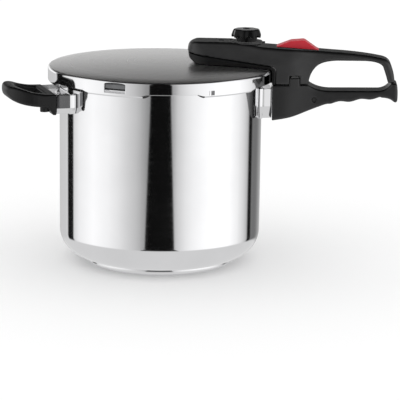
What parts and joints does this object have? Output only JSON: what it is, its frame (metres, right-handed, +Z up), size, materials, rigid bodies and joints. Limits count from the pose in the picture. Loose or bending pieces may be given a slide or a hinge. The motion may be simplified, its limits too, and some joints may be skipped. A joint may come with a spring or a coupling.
{
  "type": "pressure canner",
  "caption": "Stainless pressure canner: tall round pot, bayonet lid with pressure selector and sliding lock, long handle, helper handle, trivet and basket.",
  "frame": {"origin": "centre of the pot's flat underside, on the pot's axis", "axes": "+Z up along the pot's axis; +X along the long handle, away from the pot; +Y completes a right-handed frame"},
  "size_m": [0.4277, 0.2474, 0.2582],
  "materials": {
    "steel": "polished stainless steel",
    "satin_steel": "satin top with a polished skirt",
    "aluminium": "pressed plate inside the base",
    "bakelite": "black phenolic, satin",
    "red_plastic": "semi-gloss",
    "brass": "turned brass",
    "silicone": "grey silicone"
  },
  "bodies": {
    "pot": {"pot_body": "steel", "base_core": "aluminium", "base_cap": "steel", "long_handle_bracket": "steel", "long_handle_ferrule": "steel", "long_handle_grip": "bakelite", "long_handle_pin": "steel", "side_handle_bracket": "steel", "side_handle_ferrule": "steel", "side_handle_grip": "bakelite", "side_handle_screw_1": "steel", "side_handle_screw_2": "steel", "trivet": "steel", "basket": "steel"},
    "bail": {"basket_bail": "steel"},
    "lid": {"lid_shell": "satin_steel", "lid_gasket": "silicone", "lid_handle_base": "bakelite", "lid_handle_cover": "bakelite", "lid_bracket": "steel", "bracket_screw": "steel", "valve_body": "brass", "valve_seal": "silicone", "valve_nut": "steel", "valve_spring": "steel", "valve_collar": "bakelite", "pin_housing": "brass", "pin_nut": "steel", "safety_plug": "brass", "safety_nut": "steel"},
    "selector": {"selector_knob": "bakelite", "selector_stem": "brass"},
    "plunger": {"valve_plunger": "brass"},
    "pin": {"pressure_pin": "steel", "pin_seal": "silicone"},
    "lock": {"lock_slider": "red_plastic", "lock_bolt": "steel", "slider_screw": "steel"}
  },
  "joints": [
    {"name": "lid_turn", "type": "hinge", "parent": "pot", "child": "lid", "pos_m": [0, 0, 0.2], "axis": [0, 0, 1], "range_deg": [0, 30]},
    {"name": "selector_turn", "type": "hinge", "parent": "lid", "child": "selector", "pos_m": [0.093, 0, 0.25], "axis": [0, 0, 1], "range_deg": [0, 135]},
    {"name": "lock_slide", "type": "slide", "parent": "lid", "child": "lock", "axis": [-0.9984, 0, 0.0559], "range_m": [0, 0.006]},
    {"name": "pressure_pin_rise", "type": "slide", "parent": "lid", "child": "pin", "axis": [0, 0, 1], "range_m": [0, 0.005]},
    {"name": "valve_lift", "type": "slide", "parent": "lid", "child": "plunger", "axis": [0, 0, 1], "range_m": [0, 0.0015], "stiffness_N_per_m": 400, "deforming": ["valve_spring"]},
    {"name": "bail_swing", "type": "hinge", "parent": "pot", "child": "bail", "pos_m": [0, 0, 0.088], "axis": [0, 1, 0], "range_deg": [0, 90]}
  ]
}
